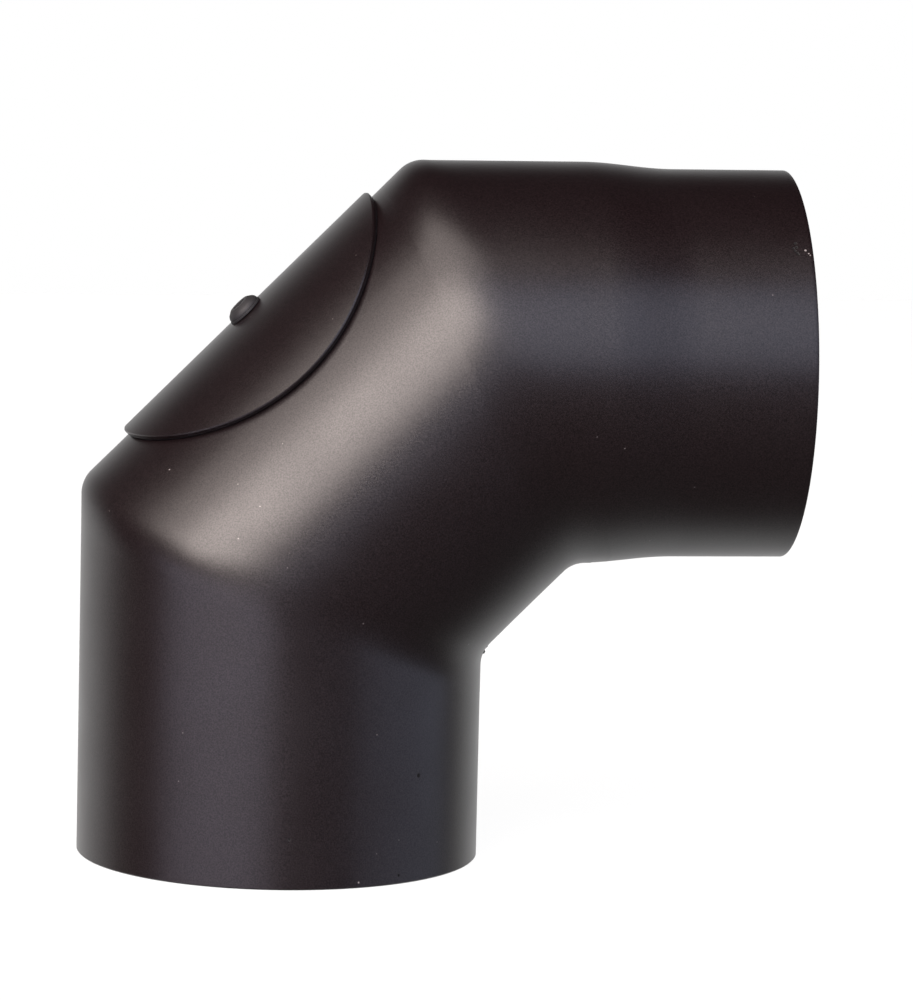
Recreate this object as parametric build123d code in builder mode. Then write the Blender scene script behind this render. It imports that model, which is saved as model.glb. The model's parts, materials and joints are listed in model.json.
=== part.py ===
"""Stove pipe elbow: three mitred pipe segments, a spigot end and a clamped cleaning door.

The origin is the centre of the bottom rim. +Z points up the lower leg and +X along the upper leg,
to the spigot. The door is at rest on the outside of the bend, with its clamp bar released.
All sizes are in millimetres.
"""

import os
from math import cos, pi, radians, sin, sqrt, tan

from build123d import *

# Pipe: legs are measured from a rim to the other leg's axis, mitres from the crossing of the axes.
# The ground corner at a mitre is eased by an arc, cut into rings on each side of the seam.
bore_diameter = 150.0
wall = 2.0
vertical_leg = 190.0
horizontal_leg = 192.0
mitre_offset = 79.0
mitre_turn = 45.0
mitre_softness = 12.0
mitre_rings = 2
rim_edge_break = 0.5

# Socket end: its bore is sized out a little, so that a 150 mm spigot or flue collar enters with sealing paste
socket_depth = 55.0
socket_sizing = 0.55

# Spigot end, swaged down to enter the socket of the next pipe
spigot_clearance = 0.5
spigot_length = 48.0
swage_length = 16.0

# Door opening: an oval cut in the flat sheet before it is rolled
opening_length = 112.0
opening_width = 92.0

# Cleaning door: an oval plate and its gasket, cut flat and rolled to the pipe
door_length = 129.5
door_width = 124.5
door_thickness = 2.0
door_edge_break = 0.4
door_offset = 2.2
gasket_thickness = 1.0
gasket_inset = 0.5
gasket_margin = 1.0
seat_clearance = 0.15

# Button-head screw and washer in the middle of the door
screw_diameter = 8.0
screw_length = 20.0
screw_end_chamfer = 0.8
screw_hole_clearance = 0.5
head_diameter = 14.0
head_height = 4.4
head_rim_height = 0.5
head_flat_diameter = 7.6
hex_socket_width = 5.0
hex_socket_depth = 2.4
washer_diameter = 16.0
washer_thickness = 1.6
washer_hole_clearance = 0.2

# Clamp bar inside the pipe, arched to the bore and short enough to pass the opening, with its welded nut
bar_end_clearance = 4.0
bar_width = 24.0
bar_thickness = 3.0
bar_slack = 1.5
nut_width = 13.0
nut_height = 6.5
thread_clearance = 0.05

# Points on the spline of an oval
outline_steps = 24

# Radii from the pipe's axis, and the bar's length
bore_radius = bore_diameter / 2
pipe_radius = bore_radius + wall
socket_radius = bore_radius + socket_sizing
spigot_radius = bore_radius - spigot_clearance
gasket_radius = pipe_radius + seat_clearance
plate_radius = gasket_radius + gasket_thickness
plate_outer_radius = plate_radius + door_thickness
bar_outer_radius = bore_radius - bar_slack
bar_inner_radius = bar_outer_radius - bar_thickness
bar_length = opening_length - 2 * bar_end_clearance

# Directions of the three pipe axes, and of the door's screw
up = Vector(0, 0, 1)
slope = Vector(sin(radians(mitre_turn)), 0, cos(radians(mitre_turn)))
level = Vector(1, 0, 0)
outward = Vector(-cos(radians(mitre_turn)), 0, sin(radians(mitre_turn)))

# Where the axes meet, and the planes of the sloping segment
lower_corner = Vector(0, 0, vertical_leg - mitre_offset)
upper_corner = Vector(mitre_offset, 0, vertical_leg)
bend_centre = (lower_corner + upper_corner) * 0.5
door_centre = bend_centre + slope * door_offset
middle_plane = Plane(origin=bend_centre, x_dir=-outward, z_dir=slope)
door_plane = Plane(origin=door_centre, x_dir=slope, z_dir=outward)
screw_section = Plane(origin=door_centre, x_dir=slope, z_dir=slope.cross(outward))
level_section = Plane(origin=(0, 0, vertical_leg), x_dir=level, z_dir=level.cross(up))
blank_reach = vertical_leg + horizontal_leg


def ring_path(start, seam, direction):
    """The chords of the arc that eases a mitre, from the end of a segment's plain pipe to the seam."""
    with BuildLine() as ease:
        TangentArc(start, seam, tangent=direction)
    ease_arc = ease.edges()[0]
    ring_ends = [ease_arc @ (ring / mitre_rings) for ring in range(mitre_rings + 1)]
    with BuildLine() as rings:
        Polyline(*ring_ends)
    return rings.wires()[0]


class SoftMitre:
    """A welded mitre: its seam lies in the plane that halves the turn, and its corner is eased."""

    def __init__(self, corner, before, after):
        half_turn = radians(mitre_turn / 2)
        run = mitre_softness * tan(half_turn)
        inset = mitre_softness / cos(half_turn) - mitre_softness
        start = corner - before * run
        end = corner + after * run
        seam = corner + (after - before).normalized() * inset
        self.normal = (before + after).normalized()
        self.start_plane = Plane(origin=start, z_dir=self.normal)
        self.end_plane = Plane(origin=end, z_dir=self.normal)
        self.lead_in = ring_path(start, seam, before)
        self.lead_out = ring_path(end, seam, -after)


def rolled_patch(length, width, neutral_radius, face_radius):
    """An oval blank rolled round the sloping axis, as a face on the cylinder of face_radius."""
    half_angle = width / 2 / neutral_radius
    points = []
    for step in range(outline_steps):
        turn = 2 * pi * step / outline_steps
        points.append((length / 2 * cos(turn), face_radius * sin(half_angle * sin(turn))))
    with BuildPart() as stamp:
        with BuildSketch(door_plane):
            with BuildLine():
                Spline(points, periodic=True)
            make_face()
        extrude(amount=2 * face_radius)
    with BuildPart() as roll:
        with BuildSketch(middle_plane):
            Circle(face_radius)
        extrude(amount=length, both=True)
    rolled_side = roll.faces().filter_by(GeomType.CYLINDER)[0]
    return rolled_side & stamp.part


lower_mitre = SoftMitre(lower_corner, up, slope)
upper_mitre = SoftMitre(upper_corner, slope, level)
opening_patch = rolled_patch(opening_length, opening_width, bore_radius + wall / 2, bore_radius - wall)

# Lower segment: the socket leg, whose bore takes the pipe below
with BuildPart() as lower_segment:
    with BuildSketch():
        Circle(pipe_radius)
    extrude(amount=blank_reach)
    split(bisect_by=lower_mitre.start_plane, keep=Keep.BOTTOM)
    mitre_cut = lower_segment.faces().filter_by(GeomType.PLANE).sort_by(Axis.Z)[-1]
    sweep(mitre_cut, path=lower_mitre.lead_in, normal=lower_mitre.normal)
    with BuildSketch():
        Circle(bore_radius)
    extrude(amount=blank_reach, mode=Mode.SUBTRACT)
    with BuildSketch():
        Circle(socket_radius)
    extrude(amount=socket_depth, mode=Mode.SUBTRACT)
    socket_rim = lower_segment.faces().sort_by(Axis.Z)[0]
    chamfer(socket_rim.outer_wire().edges(), length=rim_edge_break)
lower_segment.part.label = "lower_segment"

# Middle segment: the sloping pipe between the mitres, with the oval door opening
with BuildPart() as middle_segment:
    with BuildSketch(middle_plane):
        Circle(pipe_radius)
    extrude(amount=blank_reach, both=True)
    split(bisect_by=lower_mitre.end_plane, keep=Keep.TOP)
    split(bisect_by=upper_mitre.start_plane, keep=Keep.BOTTOM)
    mitre_cuts = middle_segment.faces().filter_by(GeomType.PLANE).sort_by(Axis.Z)
    sweep(mitre_cuts[0], path=lower_mitre.lead_out, normal=lower_mitre.normal)
    sweep(mitre_cuts[-1], path=upper_mitre.lead_in, normal=upper_mitre.normal)
    with BuildSketch(middle_plane):
        Circle(bore_radius)
    extrude(amount=blank_reach, both=True, mode=Mode.SUBTRACT)
    thicken(opening_patch, amount=3 * wall, mode=Mode.SUBTRACT)
middle_segment.part.label = "middle_segment"

# Upper segment: the level leg, swaged down to the spigot at its end
swage_start = horizontal_leg - spigot_length - swage_length
swage_end = horizontal_leg - spigot_length
upper_axis = Axis((0, 0, vertical_leg), level)
with BuildPart() as upper_segment:
    with BuildSketch(level_section):
        with BuildLine():
            Line((-horizontal_leg, pipe_radius), (swage_start, pipe_radius))
            TangentArc((swage_start, pipe_radius), (swage_end, spigot_radius), tangent=(1, 0))
            Polyline(
                (swage_end, spigot_radius),
                (horizontal_leg, spigot_radius),
                (horizontal_leg, 0),
                (-horizontal_leg, 0),
                (-horizontal_leg, pipe_radius),
            )
        make_face()
    revolve(axis=upper_axis)
    split(bisect_by=upper_mitre.end_plane, keep=Keep.TOP)
    mitre_cut = upper_segment.faces().filter_by(GeomType.PLANE).sort_by(Axis.X)[0]
    sweep(mitre_cut, path=upper_mitre.lead_out, normal=upper_mitre.normal)
    with BuildSketch(level_section):
        with BuildLine():
            Polyline(
                (-horizontal_leg, 0),
                (-horizontal_leg, bore_radius),
                (swage_start, bore_radius),
                (swage_end, spigot_radius - wall),
                (horizontal_leg, spigot_radius - wall),
                (horizontal_leg, 0),
                close=True,
            )
        make_face()
    revolve(axis=upper_axis, mode=Mode.SUBTRACT)
    spigot_rim = upper_segment.faces().sort_by(Axis.X)[-1]
    chamfer(spigot_rim.outer_wire().edges(), length=rim_edge_break)
upper_segment.part.label = "upper_segment"

# Door plate: rolled to the pipe, so its edge stands square to the curve
door_neutral_radius = plate_radius + door_thickness / 2
plate_patch = rolled_patch(door_length, door_width, door_neutral_radius, plate_radius)
with BuildPart() as door_plate:
    thicken(plate_patch, amount=door_thickness)
    outer_face = door_plate.faces().filter_by(GeomType.CYLINDER).sort_by(SortBy.AREA)[-1]
    chamfer(outer_face.outer_wire().edges(), length=door_edge_break)
    with BuildSketch(door_plane):
        Circle(screw_diameter / 2 + screw_hole_clearance)
    extrude(amount=2 * plate_outer_radius, mode=Mode.SUBTRACT)
door_plate.part.label = "door_plate"

# Door gasket: a flat ring under the plate's edge, round the opening
gasket_patch = rolled_patch(
    door_length - 2 * gasket_inset, door_width - 2 * gasket_inset, door_neutral_radius, gasket_radius
)
gasket_hole_patch = rolled_patch(
    opening_length + 2 * gasket_margin, opening_width + 2 * gasket_margin, bore_radius, bore_radius
)
with BuildPart() as door_gasket:
    thicken(gasket_patch, amount=gasket_thickness)
    thicken(gasket_hole_patch, amount=plate_outer_radius - bore_radius, mode=Mode.SUBTRACT)
door_gasket.part.label = "door_gasket"

# Washer between the screw's head and the crown of the plate
with BuildPart() as screw_washer:
    with BuildSketch(door_plane.offset(plate_outer_radius)):
        Circle(washer_diameter / 2)
        Circle(screw_diameter / 2 + washer_hole_clearance, mode=Mode.SUBTRACT)
    extrude(amount=washer_thickness)
screw_washer.part.label = "screw_washer"

# Door screw: a domed head with a hex socket, and a shank that reaches through the nut
head_seat = plate_outer_radius + washer_thickness
head_top = head_seat + head_height
screw_tip = head_seat - screw_length
screw_radius = screw_diameter / 2
head_radius = head_diameter / 2
head_flat_radius = head_flat_diameter / 2
dome_drop = (head_radius**2 + head_rim_height**2 - head_flat_radius**2 - head_height**2) / (
    2 * (head_height - head_rim_height)
)
dome_radius = sqrt(head_radius**2 + (head_rim_height + dome_drop) ** 2)
with BuildPart() as door_screw:
    with BuildSketch(screw_section):
        with BuildLine():
            Polyline(
                (head_flat_radius, head_top),
                (0, head_top),
                (0, screw_tip),
                (screw_radius - screw_end_chamfer, screw_tip),
                (screw_radius, screw_tip + screw_end_chamfer),
                (screw_radius, head_seat),
                (head_radius, head_seat),
                (head_radius, head_seat + head_rim_height),
            )
            RadiusArc((head_radius, head_seat + head_rim_height), (head_flat_radius, head_top), -dome_radius)
        make_face()
    revolve(axis=Axis(door_centre, outward))
    with BuildSketch(door_plane.offset(head_top)):
        RegularPolygon(hex_socket_width / 2, 6, major_radius=False)
    extrude(amount=-hex_socket_depth, mode=Mode.SUBTRACT)
door_screw.part.label = "door_screw"

# Clamp bar: a strip arched to the bore, lying along the opening so that it lifts out with the door
with BuildPart() as clamp_bar:
    with BuildSketch(screw_section):
        Circle(bar_outer_radius)
        Circle(bar_inner_radius, mode=Mode.SUBTRACT)
    extrude(amount=bar_width, both=True)
    with BuildSketch(door_plane):
        SlotOverall(bar_length, bar_width)
        Circle(screw_radius + screw_hole_clearance, mode=Mode.SUBTRACT)
    extrude(amount=2 * bar_outer_radius, mode=Mode.INTERSECT)
clamp_bar.part.label = "clamp_bar"

# Clamp nut: welded under the bar, its flats resting on the arch
nut_top = sqrt(bar_inner_radius**2 - (nut_width / 2) ** 2)
with BuildPart() as clamp_nut:
    with BuildSketch(door_plane.offset(nut_top)):
        RegularPolygon(nut_width / 2, 6, major_radius=False, rotation=30)
        Circle(screw_radius + thread_clearance, mode=Mode.SUBTRACT)
    extrude(amount=-nut_height)
clamp_nut.part.label = "clamp_nut"

os.makedirs("parts", exist_ok=True)
export_step(lower_segment.part, "parts/lower_segment.step")
export_step(middle_segment.part, "parts/middle_segment.step")
export_step(upper_segment.part, "parts/upper_segment.step")
export_step(door_plate.part, "parts/door_plate.step")
export_step(door_gasket.part, "parts/door_gasket.step")
export_step(screw_washer.part, "parts/screw_washer.step")
export_step(door_screw.part, "parts/door_screw.step")
export_step(clamp_bar.part, "parts/clamp_bar.step")
export_step(clamp_nut.part, "parts/clamp_nut.step")
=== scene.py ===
import bpy
import json
from math import atan2, cos, pi, radians, sin, sqrt, tan
from mathutils import Matrix, Vector


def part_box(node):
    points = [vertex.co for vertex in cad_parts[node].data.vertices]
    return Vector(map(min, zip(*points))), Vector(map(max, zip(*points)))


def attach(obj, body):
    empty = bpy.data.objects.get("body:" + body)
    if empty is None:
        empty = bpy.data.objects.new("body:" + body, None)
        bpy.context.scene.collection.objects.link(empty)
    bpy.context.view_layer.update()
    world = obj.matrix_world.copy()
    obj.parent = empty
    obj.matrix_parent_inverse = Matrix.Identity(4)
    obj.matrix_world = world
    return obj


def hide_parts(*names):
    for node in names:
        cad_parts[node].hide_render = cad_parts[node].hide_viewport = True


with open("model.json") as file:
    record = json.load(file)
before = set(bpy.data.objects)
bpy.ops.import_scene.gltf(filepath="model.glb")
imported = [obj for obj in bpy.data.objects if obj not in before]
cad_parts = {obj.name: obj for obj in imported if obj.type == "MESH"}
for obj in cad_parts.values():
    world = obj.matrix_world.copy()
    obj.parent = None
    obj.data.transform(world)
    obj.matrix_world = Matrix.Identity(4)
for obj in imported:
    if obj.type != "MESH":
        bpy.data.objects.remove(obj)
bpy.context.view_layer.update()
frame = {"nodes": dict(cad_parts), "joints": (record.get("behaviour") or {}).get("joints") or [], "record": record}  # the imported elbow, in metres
mm = 0.001
print("frame loaded:", len(frame["nodes"]), "nodes")


# the bend's own lines, read from the frame
joints = {joint["name"]: joint for joint in frame["joints"]}
mounts = {mount["name"]: mount for mount in frame["record"]["mounts"]}
pipeRadius = (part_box("lower_segment")[1].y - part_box("lower_segment")[0].y) / 2
outward = Vector(joints["door_lift"]["axis"]).normalized()  # out of the door
slope = Vector((outward.z, 0, -outward.x))  # up the sloping segment
up = Vector((0, 0, 1))
level = Vector((1, 0, 0))
side = Vector((0, 1, 0))
doorCentre = Vector(joints["screw_turn"]["pos_m"])  # where the screw's line meets the sloping axis
legHeight = mounts["spigot"]["pos_m"][2]
lowerCorner = doorCentre - slope * (doorCentre.x / slope.x)
upperCorner = doorCentre + slope * ((legHeight - doorCentre.z) / slope.z)


def startClean():
    if bpy.context.object and bpy.context.object.mode != "OBJECT":
        bpy.ops.object.mode_set(mode="OBJECT")
    bpy.ops.object.select_all(action="DESELECT")


def named(name):
    piece = bpy.context.object
    piece.name = name
    piece.data.name = name
    return piece


def applyAll(piece):
    startClean()
    bpy.context.view_layer.objects.active = piece
    piece.select_set(True)
    for modifier in list(piece.modifiers):
        bpy.ops.object.modifier_apply(modifier=modifier.name)
    bpy.ops.object.transform_apply(location=True, rotation=True, scale=True)


def smoothByAngle(piece, degrees):
    startClean()
    bpy.context.view_layer.objects.active = piece
    piece.select_set(True)
    bpy.ops.object.shade_smooth_by_angle(angle=radians(degrees))


# materials

def linearColour(hexCode):
    channels = [int(hexCode[i:i + 2], 16) / 255 for i in (1, 3, 5)]
    return [c / 12.92 if c <= 0.04045 else ((c + 0.055) / 1.055) ** 2.4 for c in channels] + [1]


def addNode(material, kind, settings={}, links={}):
    tree = material.node_tree
    node = tree.nodes.new("ShaderNode" + kind)
    for name, value in settings.items():
        if isinstance(name, str) and hasattr(node, name):
            setattr(node, name, value)
        else:
            node.inputs[name].default_value = value
    for name, source in links.items():
        tree.links.new(source, node.inputs[name])
    return node


def newMaterial(name):
    material = bpy.data.materials.new(name)
    material.use_nodes = True
    material.node_tree.nodes.clear()
    return material


def perMetre(sizeInMm):  # a noise's scale for features of this size
    return 1 / (sizeInMm * mm)


# Satin stove paint, sprayed on rolled steel and baked: a near-black warm film with a fine dry grain,
# which spreads each lamp into a broad soft sheen, with a few dust specks and handling marks
stovePaintLook = {
    "colour": "#0b0506",
    "thinColour": "#180e10",
    "roughness": (0.31, 0.36),
    "cloudSize": 38,
    "grainSize": 0.55,  # the real grain is near 0.3 mm, drawn coarser so that it shows
    "grainHeight": 0.02,
    "bumpStrength": 0.9,
    "toneRange": (0.32, 0.68),  # span of the grain's noise
    "cloudRange": (0.3, 0.7),  # span of the clouds' noise
    "grainSparkle": 0.03,  # change of roughness from grain to grain
    "grainShine": (0.41, 0.57),  # dry grains shine less than the film between them
    "dustGap": 9,  # about one dust speck in a cell of this size
    "dustSize": 0.6,
    "dustShare": 0.5,
    "speckEdge": (0.6, 0.35),  # a speck's fade, as shares of its size
    "dustColour": "#56504f",
    "chipColour": "#8d8684",
    "pitColour": "#060505",
    "pitDepth": 3.0,  # in grain heights
    "markEdge": (1.25, 0.6),  # a mark's fade, as shares of its radius
}
# marks seen on the photographed piece: place in mm, radius in mm
paleChips = [((189.1, -55.7, 239.5), 0.45), ((190.2, -56.7, 238.4), 0.3), ((190.7, -57.2, 237.8), 0.25),
             ((22.6, -73.6, 2.2), 0.35), ((-48.0, -42.6, 153.7), 0.3), ((50.1, -28.5, 261.5), 0.3)]
darkPits = [((46.0, -61.8, 40.6), 0.9), ((-4.2, -76.9, 19.4), 0.6), ((38.6, -66.6, 3.4), 0.6),
            ((185.6, -53.5, 241.8), 0.6), ((185.8, -54.8, 240.5), 0.6), ((184.6, -55.1, 240.1), 0.5),
            ((185.2, -55.9, 239.2), 0.5), ((185.9, -56.6, 238.5), 0.5), ((186.3, -57.0, 238.0), 0.4)]


def markShare(material, place, marks, edge):
    total = None
    for spot, radius in marks:
        away = addNode(material, "VectorMath", {"operation": "DISTANCE", 1: [c * mm for c in spot]},
                       {0: place})
        fade = {"From Min": edge[0] * radius * mm, "From Max": edge[1] * radius * mm}
        share = addNode(material, "MapRange", fade, {"Value": away.outputs["Value"]}).outputs["Result"]
        if total:
            share = addNode(material, "Math", {"operation": "MAXIMUM"}, {0: total, 1: share}).outputs[0]
        total = share
    return total


def stovePaint(look):
    material = newMaterial("satinStovePaint")
    place = addNode(material, "TexCoord").outputs["Object"]
    clouds = addNode(material, "TexNoise", {"Scale": perMetre(look["cloudSize"]), "Detail": 4.0},
                     {"Vector": place})
    grain = addNode(material, "TexNoise", {"Scale": perMetre(look["grainSize"]), "Detail": 2.0},
                    {"Vector": place})
    tone = addNode(material, "MapRange", {"From Min": look["toneRange"][0], "From Max": look["toneRange"][1]},
                   {"Value": grain.outputs["Fac"]})
    film = addNode(material, "MixRGB", {1: linearColour(look["colour"]), 2: linearColour(look["thinColour"])},
                   {"Fac": tone.outputs["Result"]})
    dust = addNode(material, "TexVoronoi", {"Scale": perMetre(look["dustGap"])}, {"Vector": place})
    speckFade = [edge * look["dustSize"] / look["dustGap"] for edge in look["speckEdge"]]
    speck = addNode(material, "MapRange", {"From Min": speckFade[0], "From Max": speckFade[1]},
                    {"Value": dust.outputs["Distance"]})
    pick = addNode(material, "SeparateXYZ", {}, {0: dust.outputs["Color"]})
    kept = addNode(material, "Math", {"operation": "LESS_THAN", 1: look["dustShare"]}, {0: pick.outputs[0]})
    dustShare = addNode(material, "Math", {"operation": "MULTIPLY"},
                        {0: speck.outputs["Result"], 1: kept.outputs[0]})
    dusty = addNode(material, "MixRGB", {2: linearColour(look["dustColour"])},
                    {"Fac": dustShare.outputs[0], 1: film.outputs["Color"]})
    chips = markShare(material, place, paleChips, look["markEdge"])
    pits = markShare(material, place, darkPits, look["markEdge"])
    chipped = addNode(material, "MixRGB", {2: linearColour(look["chipColour"])},
                      {"Fac": chips, 1: dusty.outputs["Color"]})
    marked = addNode(material, "MixRGB", {2: linearColour(look["pitColour"])},
                     {"Fac": pits, 1: chipped.outputs["Color"]})
    gloss = addNode(material, "MapRange",
                    {"From Min": look["cloudRange"][0], "From Max": look["cloudRange"][1],
                     "To Min": look["roughness"][0], "To Max": look["roughness"][1]},
                    {"Value": clouds.outputs["Fac"]})
    sparkle = addNode(material, "Math", {"operation": "MULTIPLY_ADD", 1: look["grainSparkle"]},
                      {0: tone.outputs["Result"], 2: gloss.outputs["Result"]})
    dull = addNode(material, "Math", {"operation": "MAXIMUM"}, {0: sparkle.outputs[0], 1: pits})
    shine = addNode(material, "MapRange", {"To Min": look["grainShine"][0], "To Max": look["grainShine"][1]},
                    {"Value": tone.outputs["Result"]})
    sunken = addNode(material, "Math", {"operation": "MULTIPLY_ADD", 1: -look["pitDepth"]},
                     {0: pits, 2: grain.outputs["Fac"]})
    bump = addNode(material, "Bump", {"Strength": look["bumpStrength"], "Distance": look["grainHeight"] * mm},
                   {"Height": sunken.outputs[0]})
    paint = addNode(material, "BsdfPrincipled", {"IOR": 1.5},
                    {"Base Color": marked.outputs["Color"], "Roughness": dull.outputs[0],
                     "Specular IOR Level": shine.outputs["Result"], "Normal": bump.outputs["Normal"]})
    addNode(material, "OutputMaterial", {}, {"Surface": paint.outputs["BSDF"]})
    return material


# Compressed fibre sheet: matt, near black, with short felted fibres
fibreLook = {"colour": "#080707", "paleColour": "#121110", "roughness": 0.95, "fibreSize": 0.8,
             "fibreHeight": 0.08, "bumpStrength": 0.8}


def fibreSheet(look):
    material = newMaterial("blackFibreSheet")
    place = addNode(material, "TexCoord").outputs["Object"]
    fibres = addNode(material, "TexNoise", {"Scale": perMetre(look["fibreSize"]), "Detail": 6.0},
                     {"Vector": place})
    tint = addNode(material, "MixRGB", {1: linearColour(look["colour"]), 2: linearColour(look["paleColour"])},
                   {"Fac": fibres.outputs["Fac"]})
    bump = addNode(material, "Bump", {"Strength": look["bumpStrength"], "Distance": look["fibreHeight"] * mm},
                   {"Height": fibres.outputs["Fac"]})
    sheet = addNode(material, "BsdfPrincipled", {"Roughness": look["roughness"]},
                    {"Base Color": tint.outputs["Color"], "Normal": bump.outputs["Normal"]})
    addNode(material, "OutputMaterial", {}, {"Surface": sheet.outputs["BSDF"]})
    return material


# Phosphated steel screw and washer: a dull grey-black crystalline skin that holds oil, with little shine
blackSteelLook = {"colour": "#2d2c2e", "darkColour": "#1e1d1f", "roughness": (0.55, 0.7), "patchSize": 2.0,
                  "turningSize": 0.4, "turningHeight": 0.05, "bumpStrength": 0.4, "metallic": 0.2}


def blackSteel(look):
    material = newMaterial("phosphatedSteel")
    place = addNode(material, "TexCoord").outputs["Object"]
    patches = addNode(material, "TexNoise", {"Scale": perMetre(look["patchSize"]), "Detail": 5.0},
                      {"Vector": place})
    tint = addNode(material, "MixRGB", {1: linearColour(look["darkColour"]), 2: linearColour(look["colour"])},
                   {"Fac": patches.outputs["Fac"]})
    gloss = addNode(material, "MapRange", {"To Min": look["roughness"][0], "To Max": look["roughness"][1]},
                    {"Value": patches.outputs["Fac"]})
    tooling = addNode(material, "TexNoise", {"Scale": perMetre(look["turningSize"]), "Detail": 1.0},
                      {"Vector": place})
    bump = addNode(material, "Bump",
                   {"Strength": look["bumpStrength"], "Distance": look["turningHeight"] * mm},
                   {"Height": tooling.outputs["Fac"]})
    steel = addNode(material, "BsdfPrincipled", {"Metallic": look["metallic"]},
                    {"Base Color": tint.outputs["Color"], "Roughness": gloss.outputs["Result"],
                     "Normal": bump.outputs["Normal"]})
    addNode(material, "OutputMaterial", {}, {"Surface": steel.outputs["BSDF"]})
    return material


# Hot-rolled steel strip, left bare inside the pipe: blue-grey mill scale with rust-brown blooms
barSteelLook = {"colour": "#6d6a68", "scaleColour": "#45464a", "bloomColour": "#5a4538",
                "roughness": (0.42, 0.62), "patchSize": 14, "bloomSize": 6, "bloomRange": (0.58, 0.72),
                "bloomMost": 0.6, "pitSize": 0.6, "pitHeight": 0.03, "bumpStrength": 0.5, "metallic": 0.9}


def barSteel(look):
    material = newMaterial("hotRolledSteel")
    place = addNode(material, "TexCoord").outputs["Object"]
    patches = addNode(material, "TexNoise", {"Scale": perMetre(look["patchSize"]), "Detail": 5.0},
                      {"Vector": place})
    blooms = addNode(material, "TexNoise", {"Scale": perMetre(look["bloomSize"]), "Detail": 6.0},
                     {"Vector": place})
    bloomShare = addNode(material, "MapRange",
                         {"From Min": look["bloomRange"][0], "From Max": look["bloomRange"][1],
                          "To Max": look["bloomMost"]},
                         {"Value": blooms.outputs["Fac"]})
    metal = addNode(material, "MixRGB",
                    {1: linearColour(look["scaleColour"]), 2: linearColour(look["colour"])},
                    {"Fac": patches.outputs["Fac"]})
    tint = addNode(material, "MixRGB", {2: linearColour(look["bloomColour"])},
                   {"Fac": bloomShare.outputs["Result"], 1: metal.outputs["Color"]})
    gloss = addNode(material, "MapRange", {"To Min": look["roughness"][0], "To Max": look["roughness"][1]},
                    {"Value": patches.outputs["Fac"]})
    pits = addNode(material, "TexNoise", {"Scale": perMetre(look["pitSize"]), "Detail": 3.0},
                   {"Vector": place})
    bump = addNode(material, "Bump", {"Strength": look["bumpStrength"], "Distance": look["pitHeight"] * mm},
                   {"Height": pits.outputs["Fac"]})
    steel = addNode(material, "BsdfPrincipled", {"Metallic": look["metallic"]},
                    {"Base Color": tint.outputs["Color"], "Roughness": gloss.outputs["Result"],
                     "Normal": bump.outputs["Normal"]})
    addNode(material, "OutputMaterial", {}, {"Surface": steel.outputs["BSDF"]})
    return material


finishes = {
    "flue_paint": stovePaint(stovePaintLook),
    "gasket": fibreSheet(fibreLook),
    "black_steel": blackSteel(blackSteelLook),
    "bare_steel": barSteel(barSteelLook),
}
for part in frame["record"]["subparts"]:
    node = frame["nodes"][part["node"]]
    node.data.materials.clear()
    node.data.materials.append(finishes[part["material_slot"]])
print("finishes on the packed nodes:", ", ".join(material.name for material in finishes.values()))


# ground weld seams: a weld bead runs round each mitre, ground back to a soft corner and painted over
weldSeam = {
    "softness": 12 * mm,  # radius of the ground corner
    "steps": 16,  # rings across the corner
    "around": 192,
    "lead": (14 * mm, 14 * mm),  # run-out along each pipe
    "runOutRings": 6,
    "ringShare": 0.12,  # from ring to ring, as a share of the run-out
    "firstRise": 0.3,  # the outermost ring's height, as a share of the whole
    "riseStep": 0.1,
    "proud": 0.08 * mm,  # over the pipes' own surface
    "softZone": 11 * mm,  # the ground surface's soft shading, each side of its middle
    "softShift": 5 * mm,  # that middle lies this far before the corner, going up the bend
    "outerFacing": 0.8,  # cosine that tells the outer skin from the inner
    "under": 0.06 * mm,  # the run-out's ends go under the pipes' paint, first by this
    "tuck": 0.3 * mm,  # and then by this
    "depth": 1.9 * mm,  # into the wall, just short of its inside
    "smoothAngle": 60,
}


def seamPath(size, corner, before, after):
    halfTurn = before.angle(after) / 2
    run = size["softness"] * tan(halfTurn)
    centre = corner - before * run + (after - before * before.dot(after)).normalized() * size["softness"]
    first = corner - before * run - centre
    across = before * size["softness"]
    runOut = [(1, -size["tuck"]), (1 - size["ringShare"], -size["under"])]
    for step in range(size["runOutRings"]):
        rise = size["proud"] * (size["firstRise"] + size["riseStep"] * step)
        runOut.append((1 - size["ringShare"] * (step + 2), rise))
    path = [(corner - before * (run + share * size["lead"][0]), rise) for share, rise in runOut]
    for step in range(size["steps"] + 1):
        turn = 2 * halfTurn * step / size["steps"]
        path.append((centre + first * cos(turn) + across * sin(turn), size["proud"]))
    path += [(corner + after * (run + share * size["lead"][1]), rise) for share, rise in reversed(runOut)]
    return path


def easeShading(piece, size, corner, before, after, whole):
    # the grinding disc's wide soft pass: the shading turns from pipe to pipe over more than the corner itself
    across = (before + after).normalized()
    normals = []
    for vertex in piece.data.vertices:
        off = vertex.co - corner
        first = (off - before * off.dot(before)).normalized()
        second = (off - after * off.dot(after)).normalized()
        part = min(max((off.dot(across) + size["softShift"]) / (2 * size["softZone"]) + 0.5, 0), 1)
        part = part * part * (3 - 2 * part)
        eased = (first * (1 - part) + second * part).normalized()
        outer = vertex.normal.dot(eased) > size["outerFacing"]
        normals.append(eased if outer and (whole or 0 < part < 1) else vertex.normal.copy())
    piece.data.normals_split_custom_set_from_vertices(normals)


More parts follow.
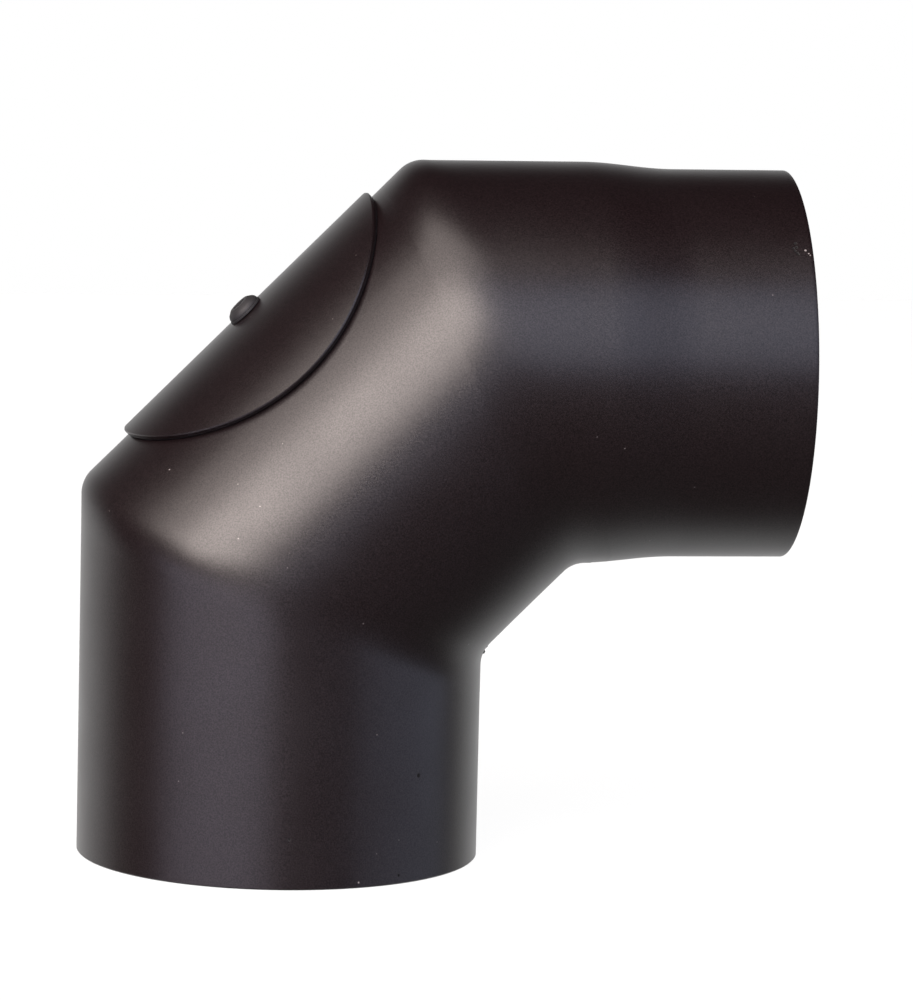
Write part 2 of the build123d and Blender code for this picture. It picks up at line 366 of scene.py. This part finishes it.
def groundSeam(name, size, corner, before, after):
    path = seamPath(size, corner, before, after)
    normal = (before + after).normalized()
    stretch = 1 / cos(before.angle(after) / 2)
    startClean()
    bpy.ops.mesh.primitive_circle_add(vertices=size["around"], radius=pipeRadius)
    seam = named(name)
    seam.scale = (stretch, 1, 1)  # the oval that a mitre cuts from the pipe
    seam.rotation_euler = (0, atan2(normal.x, normal.z), 0)
    seam.location = path[0][0]
    bpy.ops.object.transform_apply(location=True, rotation=True, scale=True)
    bpy.ops.object.mode_set(mode="EDIT")
    bpy.ops.mesh.select_all(action="SELECT")
    height = 0
    for (here, _), (there, rise) in zip([path[0]] + path, path):
        if there is not here:
            bpy.ops.mesh.extrude_edges_move(TRANSFORM_OT_translate={"value": there - here})
        grow = (pipeRadius + rise) / (pipeRadius + height)
        bpy.ops.transform.resize(value=(grow, grow, grow), center_override=there)
        height = rise
    bpy.ops.mesh.select_all(action="SELECT")
    bpy.ops.mesh.normals_make_consistent(inside=False)
    bpy.ops.object.mode_set(mode="OBJECT")
    wall = seam.modifiers.new("depth", "SOLIDIFY")
    wall.thickness = size["depth"]
    wall.offset = -1
    applyAll(seam)
    smoothByAngle(seam, size["smoothAngle"])
    easeShading(seam, size, corner, before, after, True)
    seam.data.materials.append(finishes["flue_paint"])
    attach(seam, "elbow")
    return seam


upperWeldSeam = dict(weldSeam, lead=(14 * mm, 3 * mm), softZone=16 * mm, softShift=3 * mm)
lowerSeam = groundSeam("lower_weld_seam", weldSeam, lowerCorner, up, slope)
upperSeam = groundSeam("upper_weld_seam", upperWeldSeam, upperCorner, slope, level)
print("ground weld seams:", lowerSeam.name, upperSeam.name)


# door screw: domed head with a hex socket, and a rolled thread
doorScrew = {
    "seat": 81.05 * mm,  # the head's underside, from the sloping axis
    "headRadius": 6.8 * mm,
    "rim": 0.4 * mm,
    "headHeight": 3.1 * mm,
    "flatRadius": 4.3 * mm,
    "domeSteps": 10,
    "domeSwell": 0.16,  # the dome's bow, as a share of its chord
    "around": 72,
    "socketWidth": 5 * mm,  # across the flats
    "socketDepth": 2.0 * mm,
    "edge": 0.12 * mm,
    "edgeSteps": 2,
    "edgeAngle": 50,
    "crest": 4 * mm,
    "pitch": 1.25 * mm,
    "threadDepth": 0.6134,  # as a share of the pitch
    "threadSteps": 40,  # in each turn
    "spareTurns": 4,  # cut off at both ends
    "mergeGap": 0.005 * mm,
    "closeGap": 0.004 * mm,
    "tip": 61.75 * mm,
    "tipTaper": 0.8 * mm,
    "tipAround": 48,
    "spare": 0.1 * mm,  # the tip's cutter stands clear of the thread by this
    "smoothAngle": 28,
}


def ring(radius, height, around):
    startClean()
    bpy.ops.mesh.primitive_circle_add(vertices=around, radius=radius, location=(0, 0, height),
                                      fill_type="NGON")
    bpy.ops.object.transform_apply(location=True)
    bpy.ops.object.mode_set(mode="EDIT")
    bpy.ops.mesh.select_all(action="SELECT")


def raiseRing(rise, grow, height):
    bpy.ops.mesh.extrude_region_move(TRANSFORM_OT_translate={"value": (0, 0, rise)})
    bpy.ops.transform.resize(value=(grow, grow, 1), center_override=(0, 0, height))


def cutAway(piece, cutter, operation):
    cut = piece.modifiers.new("cut", "BOOLEAN")
    cut.operation = operation
    cut.solver = "EXACT"
    cut.object = cutter
    applyAll(piece)
    bpy.data.objects.remove(cutter)


def hexBar(width, low, high):
    startClean()
    bpy.ops.mesh.primitive_cylinder_add(vertices=6, radius=width / 2 / cos(pi / 6), depth=high - low,
                                        location=(0, 0, (low + high) / 2))
    bpy.ops.object.transform_apply(location=True)
    return named("hexBar")


def outlineFrom(profile, around, name):
    ring(profile[0][0], profile[0][1], around)
    for (wide, low), (narrow, high) in zip(profile, profile[1:]):
        raiseRing(high - low, narrow / wide, high)
    bpy.ops.mesh.select_all(action="SELECT")
    bpy.ops.mesh.normals_make_consistent(inside=False)
    bpy.ops.object.mode_set(mode="OBJECT")
    return named(name)


def screwHead(size):
    top = size["headHeight"] - size["rim"]
    profile = [(size["headRadius"] - size["edge"], size["seat"]),
               (size["headRadius"], size["seat"] + size["edge"]),
               (size["headRadius"], size["seat"] + size["rim"])]
    # the dome is an arc from the rim to the flat
    drop = size["headRadius"] - size["flatRadius"]
    bow = atan2(top, drop)
    reach = sqrt(top ** 2 + drop ** 2)
    swell = size["domeSwell"] * reach
    for step in range(1, size["domeSteps"] + 1):
        part = step / size["domeSteps"]
        lift = 4 * swell * part * (1 - part)
        profile.append((size["headRadius"] - drop * part + lift * sin(bow),
                        size["seat"] + size["rim"] + top * part + lift * cos(bow) * (1 - part)))
    head = outlineFrom(profile, size["around"], "door_screw_dressed")
    floorHeight = size["seat"] + size["headHeight"] - size["socketDepth"]
    socket = hexBar(size["socketWidth"], floorHeight, floorHeight + 2 * size["socketDepth"])
    cutAway(head, socket, "DIFFERENCE")
    soft = head.modifiers.new("edge", "BEVEL")
    soft.width = size["edge"]
    soft.segments = size["edgeSteps"]
    soft.limit_method = "ANGLE"
    soft.angle_limit = radians(size["edgeAngle"])
    applyAll(head)
    return head


def rolledThread(size):
    depth = size["threadDepth"] * size["pitch"]
    turns = int((size["seat"] - size["tip"]) / size["pitch"]) + size["spareTurns"]
    startClean()
    bpy.ops.mesh.primitive_circle_add(vertices=4, radius=size["pitch"] / 2, rotation=(pi / 2, 0, 0))
    thread = named("thread")
    bpy.ops.object.transform_apply(rotation=True)
    bpy.ops.object.mode_set(mode="EDIT")
    bpy.ops.mesh.select_all(action="DESELECT")
    bpy.ops.object.mode_set(mode="OBJECT")
    for vertex in thread.data.vertices:
        vertex.select = vertex.co.x < -size["pitch"] / 4  # leaves a vee, the profile of one turn
    bpy.ops.object.mode_set(mode="EDIT")
    bpy.ops.mesh.delete(type="VERT")
    bpy.ops.mesh.select_all(action="SELECT")
    bpy.ops.transform.resize(value=(depth / (size["pitch"] / 2), 1, 1), center_override=(0, 0, 0))
    start = size["tip"] - size["spareTurns"] / 2 * size["pitch"]
    bpy.ops.transform.translate(value=(size["crest"] - depth, 0, start))
    bpy.ops.object.mode_set(mode="OBJECT")
    winding = thread.modifiers.new("winding", "SCREW")
    winding.axis = "Z"
    winding.screw_offset = size["pitch"]
    winding.iterations = turns
    winding.steps = size["threadSteps"]
    winding.render_steps = size["threadSteps"]
    winding.use_merge_vertices = True
    winding.merge_threshold = size["mergeGap"]
    applyAll(thread)
    bpy.ops.object.mode_set(mode="EDIT")
    for height, upper in ((size["tip"], False), (size["seat"] + size["rim"], True)):
        bpy.ops.mesh.select_all(action="SELECT")
        bpy.ops.mesh.bisect(plane_co=(0, 0, height), plane_no=(0, 0, 1), use_fill=True,
                            clear_inner=not upper, clear_outer=upper)
    bpy.ops.mesh.select_all(action="SELECT")
    bpy.ops.mesh.remove_doubles(threshold=size["closeGap"])
    bpy.ops.mesh.normals_make_consistent(inside=False)
    bpy.ops.object.mode_set(mode="OBJECT")
    wide = size["crest"] + size["spare"]
    point = outlineFrom([(size["crest"] - size["tipTaper"], size["tip"] - size["spare"]),
                         (wide, size["tip"] + size["tipTaper"]), (wide, size["seat"] + size["headHeight"])],
                        size["tipAround"], "point")
    cutAway(thread, point, "INTERSECT")
    return thread


def turnOutward(piece):
    startClean()
    bpy.context.view_layer.objects.active = piece
    piece.select_set(True)
    piece.rotation_euler = (0, atan2(outward.x, outward.z), 0)
    piece.location = doorCentre
    bpy.ops.object.transform_apply(location=True, rotation=True)


def dressedScrew(size):
    head = screwHead(size)
    thread = rolledThread(size)
    startClean()
    thread.select_set(True)
    head.select_set(True)
    bpy.context.view_layer.objects.active = head
    bpy.ops.object.join()
    turnOutward(head)
    smoothByAngle(head, size["smoothAngle"])
    head.data.materials.clear()
    head.data.materials.append(finishes["black_steel"])
    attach(head, "screw")
    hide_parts("door_screw")
    return head


screwPiece = dressedScrew(doorScrew)
print("door screw:", len(screwPiece.data.polygons), "faces")


# screw washer: a thin flat ring with broken edges
screwWasher = {
    "underside": 80.15 * mm,  # from the sloping axis
    "thickness": 0.9 * mm,
    "radius": 7.2 * mm,
    "hole": 4.2 * mm,
    "edge": 0.15 * mm,
    "around": 72,
    "holeAround": 48,
    "spare": 1 * mm,  # the hole's cutter stands out by this
    "smoothAngle": 30,
}


def dressedWasher(size):
    low, high = size["underside"], size["underside"] + size["thickness"]
    narrow = size["radius"] - size["edge"]
    washer = outlineFrom([(narrow, low), (size["radius"], low + size["edge"]),
                          (size["radius"], high - size["edge"]), (narrow, high)],
                         size["around"], "screw_washer_dressed")
    hole = outlineFrom([(size["hole"], low - size["spare"]), (size["hole"], high + size["spare"])],
                       size["holeAround"], "hole")
    cutAway(washer, hole, "DIFFERENCE")
    turnOutward(washer)
    smoothByAngle(washer, size["smoothAngle"])
    washer.data.materials.clear()
    washer.data.materials.append(finishes["black_steel"])
    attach(washer, "door")
    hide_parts("screw_washer")


dressedWasher(screwWasher)
print("screw washer")


# clamp nut: a plain hex nut with its chamfered corners, welded to the bar
clampNut = {
    "holeRadius": 4.05 * mm,
    "sink": 0.45 * mm,
    "faceShare": 0.97,  # the flat end's radius, as a share of the nut's half width
    "chamfer": 30,
    "spare": 1.02,  # the turned outline clears the corners by this share
    "around": 72,
    "holeAround": 48,
    "smoothAngle": 25,
}


def dressedNut(size):
    offsets = [vertex.co - doorCentre for vertex in frame["nodes"]["clamp_nut"].data.vertices]
    low = min(off.dot(outward) for off in offsets)
    high = max(off.dot(outward) for off in offsets)
    corner = max(offsets, key=lambda off: off.dot(slope) ** 2 + off.dot(side) ** 2)
    cornerRadius = sqrt(corner.dot(slope) ** 2 + corner.dot(side) ** 2)
    nut = hexBar(2 * cornerRadius * cos(pi / 6), low, high)
    nut.name = "clamp_nut_dressed"
    nut.rotation_euler = (0, 0, atan2(corner.dot(side), corner.dot(slope)) - pi / 2)
    bpy.ops.object.transform_apply(rotation=True)
    face = cornerRadius * cos(pi / 6) * size["faceShare"]
    clear = cornerRadius * size["spare"]
    rise = (clear - face) * tan(radians(size["chamfer"]))
    turned = outlineFrom([(face, low), (clear, low + rise), (clear, high - rise), (face, high)],
                         size["around"], "turned")
    cutAway(nut, turned, "INTERSECT")
    wide = size["holeRadius"] + 2 * size["sink"]
    hole = outlineFrom([(wide, low - size["sink"]), (size["holeRadius"], low + size["sink"]),
                        (size["holeRadius"], high - size["sink"]), (wide, high + size["sink"])],
                       size["holeAround"], "hole")
    cutAway(nut, hole, "DIFFERENCE")
    turnOutward(nut)
    smoothByAngle(nut, size["smoothAngle"])
    nut.data.materials.clear()
    nut.data.materials.append(finishes["bare_steel"])
    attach(nut, "clamp")
    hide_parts("clamp_nut")


dressedNut(clampNut)
print("clamp nut")


# level leg: the tube narrows to its spigot in one long soft swage
levelLeg = {
    "wall": 2 * mm,
    "start": 10 * mm,  # well inside the mitre, which cuts it off
    "swageStart": 113 * mm,
    "swageEnd": 149 * mm,
    "spigotRadius": 74.5 * mm,
    "steps": 24,
    "around": 192,
    "edge": 0.5 * mm,
    "edgeSteps": 2,
    "edgeAngle": 50,
    "shadeRings": 10,  # beside the seam, for its soft shading
    "shadeGap": 1.5 * mm,
    "smoothAngle": 60,
}


def dressedLevelLeg(size):
    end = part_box("upper_segment")[1].x
    profile = [(pipeRadius, size["start"])]
    for step in range(size["steps"] + 1):
        part = step / size["steps"]
        narrowing = (pipeRadius - size["spigotRadius"]) * (1 + cos(pi * part)) / 2
        profile.append((size["spigotRadius"] + narrowing,
                        size["swageStart"] + (size["swageEnd"] - size["swageStart"]) * part))
    # one ring close to the rim, for its rounded edge
    profile += [(size["spigotRadius"], end - 3 * size["edge"]), (size["spigotRadius"], end)]
    startClean()
    bpy.ops.mesh.primitive_circle_add(vertices=size["around"], radius=pipeRadius,
                                      location=(0, 0, size["start"]))
    leg = named("upper_segment_dressed")
    bpy.ops.object.transform_apply(location=True)
    bpy.ops.object.mode_set(mode="EDIT")
    bpy.ops.mesh.select_all(action="SELECT")
    for (wide, low), (narrow, high) in zip(profile, profile[1:]):
        bpy.ops.mesh.extrude_edges_move(TRANSFORM_OT_translate={"value": (0, 0, high - low)})
        bpy.ops.transform.resize(value=(narrow / wide, narrow / wide, 1), center_override=(0, 0, high))
    bpy.ops.object.mode_set(mode="OBJECT")
    leg.rotation_euler = (0, pi / 2, 0)
    leg.location = (0, 0, legHeight)
    bpy.ops.object.transform_apply(location=True, rotation=True)
    # the mitre, back from the corner to where the ground seam takes over
    run = weldSeam["softness"] * tan(slope.angle(level) / 2)
    bpy.ops.object.mode_set(mode="EDIT")
    bpy.ops.mesh.select_all(action="SELECT")
    mitre = (slope + level).normalized()
    for step in range(1, size["shadeRings"] + 1):
        bpy.ops.mesh.bisect(plane_co=upperCorner + level * (run + step * size["shadeGap"]), plane_no=mitre)
        bpy.ops.mesh.select_all(action="SELECT")
    bpy.ops.mesh.bisect(plane_co=upperCorner + level * run, plane_no=mitre, clear_inner=True)
    bpy.ops.mesh.select_all(action="SELECT")
    bpy.ops.mesh.normals_make_consistent(inside=False)
    bpy.ops.object.mode_set(mode="OBJECT")
    wall = leg.modifiers.new("wall", "SOLIDIFY")
    wall.thickness = size["wall"]
    wall.offset = -1
    rims = leg.modifiers.new("rims", "BEVEL")
    rims.width = size["edge"]
    rims.segments = size["edgeSteps"]
    rims.limit_method = "ANGLE"
    rims.angle_limit = radians(size["edgeAngle"])
    applyAll(leg)
    smoothByAngle(leg, size["smoothAngle"])
    easeShading(leg, upperWeldSeam, upperCorner, slope, level, False)
    leg.data.materials.append(finishes["flue_paint"])
    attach(leg, "elbow")
    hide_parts("upper_segment")


dressedLevelLeg(levelLeg)
print("level leg with its swage")


# weld nibs: grinding left a few lumps in the inside corner of the lower seam
weldNibs = [
    {"turn": -7, "along": 2.6, "size": (1.5, 1.3, 1.1), "tilt": 20},
    {"turn": -11, "along": 0.4, "size": (1.0, 1.2, 0.8), "tilt": -30},
    {"turn": -5, "along": -2.2, "size": (0.9, 0.8, 0.7), "tilt": 50},
    {"turn": 6, "along": 1.2, "size": (1.1, 1.0, 0.9), "tilt": 10},
    {"turn": 14, "along": -0.8, "size": (0.8, 1.0, 0.7), "tilt": 75},
]
nibShape = {
    "fall": 0.12,  # the corner falls away by this share of the distance along it
    "sink": 0.25 * mm,
    "radius": 1 * mm,  # before each nib's own size
    "lumpSize": 0.9 * mm,
    "lumpHeight": 0.5 * mm,
    "smoothAngle": 60,
}


def weldNib(number, nib):
    normal = (up + slope).normalized()
    inside = Vector((normal.z, 0, -normal.x))
    turn = radians(nib["turn"])
    along = nib["along"] * mm
    bow = weldSeam["softness"] * (1 / cos(up.angle(slope) / 2) - 1)
    reach = pipeRadius / cos(up.angle(slope) / 2) + bow - abs(along) * nibShape["fall"]
    spot = lowerCorner + inside * reach * cos(turn) + side * pipeRadius * sin(turn) + normal * along
    startClean()
    bpy.ops.mesh.primitive_ico_sphere_add(subdivisions=4, radius=nibShape["radius"])
    piece = named("weld_nib_" + str(number))
    piece.scale = nib["size"]
    piece.rotation_euler = (0, radians(nib["tilt"]), radians(nib["tilt"]))
    piece.location = spot - inside * nibShape["sink"]
    bpy.ops.object.transform_apply(location=True, rotation=True, scale=True)
    lumps = bpy.data.textures.new("lumps", "CLOUDS")
    lumps.noise_scale = nibShape["lumpSize"]
    rough = piece.modifiers.new("rough", "DISPLACE")
    rough.texture = lumps
    rough.strength = nibShape["lumpHeight"]
    rough.mid_level = 0.5
    applyAll(piece)
    smoothByAngle(piece, nibShape["smoothAngle"])
    piece.data.materials.append(finishes["flue_paint"])
    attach(piece, "elbow")


for number, nib in enumerate(weldNibs, 1):
    weldNib(number, nib)
print("weld nibs:", len(weldNibs))


# camera, matched to the photograph's outlines
cameraSet = {
    "aim": Vector((67.04, 0, 136.44)) * mm,
    "azimuth": -8.3666,
    "elevation": 8.0370,
    "distance": 2.29489,
    "roll": 1.3477,
    "lens": 215.0,
    "sensor": 36,
}


def setCamera(view):
    turn, rise = radians(view["azimuth"]), radians(view["elevation"])
    back = Vector((sin(turn) * cos(rise), -cos(turn) * cos(rise), sin(rise)))
    data = bpy.data.cameras.new("photoCamera")
    data.lens = view["lens"]
    data.sensor_width = view["sensor"]
    camera = bpy.data.objects.new("photoCamera", data)
    bpy.context.scene.collection.objects.link(camera)
    facing = (-back).to_track_quat("-Z", "Y").to_matrix().to_4x4()
    camera.matrix_world = (Matrix.Translation(view["aim"] + back * view["distance"]) @ facing
                           @ Matrix.Rotation(radians(view["roll"]), 4, "Z"))
    bpy.context.scene.camera = camera


setCamera(cameraSet)
print("camera set")


# studio: pale floor, warm softboxes up on the left, a cool strip in front, white surroundings behind
studio = {
    "floorSize": 4,
    "floorDrop": 0.2 * mm,
    "floorColour": "#565554",
    "clear": 0.965,  # the white surroundings come through the pale floor, and the rest of it takes the shadow
    "whiteFrom": 0.5,  # the surroundings turn white behind the object, past this share of the far direction
    "lean": 0.2,  # they reach further forward below the object
    "whiteTop": 0.30,  # and stay white up to this share of the upward direction
    "blend": 0.4,
    "underfoot": 0.75,  # they are dimmer straight below
    "dimFrom": -0.15,  # from this share of the upward direction
    "dimTo": -0.7,  # to this one
    "ambient": 0.02,
}


def studioFloor(size):
    startClean()
    bpy.ops.mesh.primitive_plane_add(size=size["floorSize"], location=(0, 0, -size["floorDrop"]))
    floor = named("floor")
    bpy.ops.object.transform_apply(location=True)
    material = newMaterial("paleFloor")
    matt = addNode(material, "BsdfDiffuse", {"Color": linearColour(size["floorColour"])})
    clear = addNode(material, "BsdfTransparent", {"Color": [size["clear"]] * 3 + [1]})
    both = addNode(material, "AddShader", {}, {0: matt.outputs["BSDF"], 1: clear.outputs["BSDF"]})
    addNode(material, "OutputMaterial", {}, {"Surface": both.outputs["Shader"]})
    floor.data.materials.append(material)


studioFloor(studio)

# each lamp: direction from the door in degrees, angular width and height, brightness of its face, colour
lamps = {
    "mainSoftbox": {"azimuth": -31, "elevation": 27, "width": 41, "height": 25,
                    "face": 9.7, "colour": "#fff2ec"},
    "upperSoftbox": {"azimuth": -47, "elevation": 52, "width": 50, "height": 47,
                     "face": 3.3, "colour": "#fff2ec"},
    "coolStrip": {"azimuth": 15, "elevation": 27, "width": 42, "height": 46,
                  "face": 1.65, "colour": "#dae4ff"},
    "lowLeftStrip": {"azimuth": -42, "elevation": -9, "width": 62, "height": 13,
                     "face": 2.7, "colour": "#eee9ff"},
    "lowRightStrip": {"azimuth": 69, "elevation": -12, "width": 63, "height": 8,
                      "face": 1.7, "colour": "#dbe4ff"},
}
lampDistance = 3.0


def areaLamp(name, lamp):
    turn, rise = radians(lamp["azimuth"]), radians(lamp["elevation"])
    towards = Vector((sin(turn) * cos(rise), -cos(turn) * cos(rise), sin(rise)))
    data = bpy.data.lights.new(name, "AREA")
    data.shape = "RECTANGLE"
    data.size = 2 * lampDistance * tan(radians(lamp["width"]) / 2)
    data.size_y = 2 * lampDistance * tan(radians(lamp["height"]) / 2)
    data.energy = 4 * lamp["face"] * data.size * data.size_y  # watts for a face of this brightness
    data.color = linearColour(lamp["colour"])[:3]
    light = bpy.data.objects.new(name, data)
    bpy.context.scene.collection.objects.link(light)
    light.location = doorCentre + towards * lampDistance
    light.rotation_euler = (-towards).to_track_quat("-Z", "Y").to_euler()
    light.visible_camera = False


for lampName, lamp in lamps.items():
    areaLamp(lampName, lamp)


def studioWorld(size):
    world = bpy.data.worlds.new("studio")
    bpy.context.scene.world = world
    world.use_nodes = True
    world.node_tree.nodes.clear()
    facing = addNode(world, "SeparateXYZ", {}, {0: addNode(world, "TexCoord").outputs["Generated"]})
    half = size["blend"] / 2
    reach = addNode(world, "Math", {"operation": "MULTIPLY_ADD", 1: -size["lean"]},
                    {0: facing.outputs["Z"], 2: facing.outputs["Y"]})
    behind = addNode(world, "MapRange", {"From Min": size["whiteFrom"] - half,
                                         "From Max": size["whiteFrom"] + half}, {"Value": reach.outputs[0]})
    low = addNode(world, "MapRange", {"From Min": size["whiteTop"] + half,
                                      "From Max": size["whiteTop"] - half}, {"Value": facing.outputs["Z"]})
    dim = addNode(world, "MapRange", {"From Min": size["dimTo"], "From Max": size["dimFrom"],
                                      "To Min": size["underfoot"]}, {"Value": facing.outputs["Z"]})
    band = addNode(world, "Math", {"operation": "MULTIPLY"},
                   {0: behind.outputs["Result"], 1: low.outputs["Result"]})
    backdrop = addNode(world, "Math", {"operation": "MULTIPLY"},
                       {0: band.outputs[0], 1: dim.outputs["Result"]})
    ray = addNode(world, "LightPath")
    mirrored = addNode(world, "Math", {"operation": "MAXIMUM"},
                       {0: ray.outputs["Is Glossy Ray"], 1: ray.outputs["Is Transmission Ray"]})
    reflected = addNode(world, "Math", {"operation": "MULTIPLY"},
                        {0: mirrored.outputs[0], 1: backdrop.outputs[0]})
    white = addNode(world, "Math", {"operation": "MAXIMUM"},
                    {0: ray.outputs["Is Camera Ray"], 1: reflected.outputs[0]})
    strength = addNode(world, "MapRange", {"To Min": size["ambient"], "To Max": 1.0},
                       {"Value": white.outputs[0]})
    surroundings = addNode(world, "Background", {"Color": (1, 1, 1, 1)},
                           {"Strength": strength.outputs["Result"]})
    addNode(world, "OutputWorld", {}, {"Surface": surroundings.outputs["Background"]})


studioWorld(studio)
bpy.context.scene.view_settings.view_transform = "Standard"
print("studio lit:", ", ".join(lamps))
